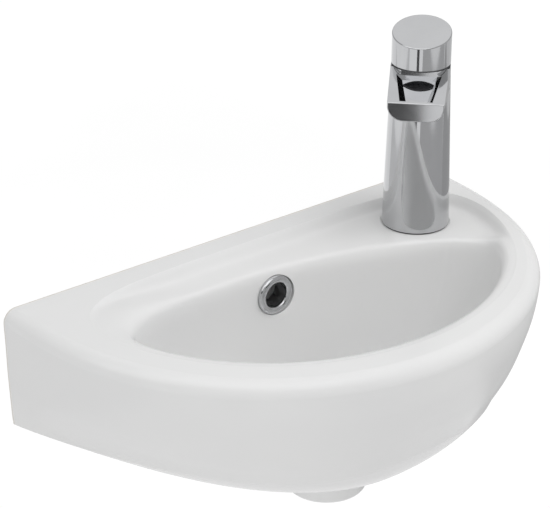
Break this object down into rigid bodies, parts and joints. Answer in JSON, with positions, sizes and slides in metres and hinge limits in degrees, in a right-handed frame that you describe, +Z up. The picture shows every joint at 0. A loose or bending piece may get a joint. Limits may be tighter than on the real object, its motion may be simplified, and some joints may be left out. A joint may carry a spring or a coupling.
{
  "type": "hand basin with tap",
  "caption": "Wall-hung D-shaped ceramic hand basin with a lowered tap deck at the right, a chromed overflow ring and a chromed pillar tap whose slanted top handle turns to open it.",
  "frame": {"origin": "on the wall plane, midway between the two wall bolt holes", "axes": "+Z up, +Y into the wall, +X to the right when facing the wall"},
  "size_m": [0.3998, 0.2343, 0.3134],
  "materials": {
    "glaze": "glossy white glaze",
    "chrome": "polished",
    "rubber": "matte",
    "brass": "turned",
    "steel": "brushed",
    "disc": "lapped",
    "plastic": "matte",
    "cover": "glossy grey"
  },
  "bodies": {
    "basin": {"basin": "glaze", "overflow_ring": "chrome", "tap_body": "chrome", "base_seal": "rubber", "inlet_tail": "brass", "tail_seal": "rubber", "deck_washer": "rubber", "clamp_washer": "steel", "backnut": "brass", "seat_seal": "rubber", "fixed_disc": "disc", "cartridge_housing": "brass", "housing_seal": "rubber", "slide_ring": "plastic", "aerator_housing": "chrome", "aerator_insert": "plastic", "aerator_seal": "rubber"},
    "handle": {"handle": "chrome", "handle_screw": "steel", "screw_cover": "cover", "spindle": "brass", "spindle_seal": "rubber", "spindle_clip": "steel", "moving_disc": "disc"}
  },
  "joints": [
    {"name": "handle_turn", "type": "hinge", "parent": "basin", "child": "handle", "pos_m": [0.1295, -0.0554, 0.1652], "axis": [0, 0, 1], "range_deg": [0, 90]}
  ]
}
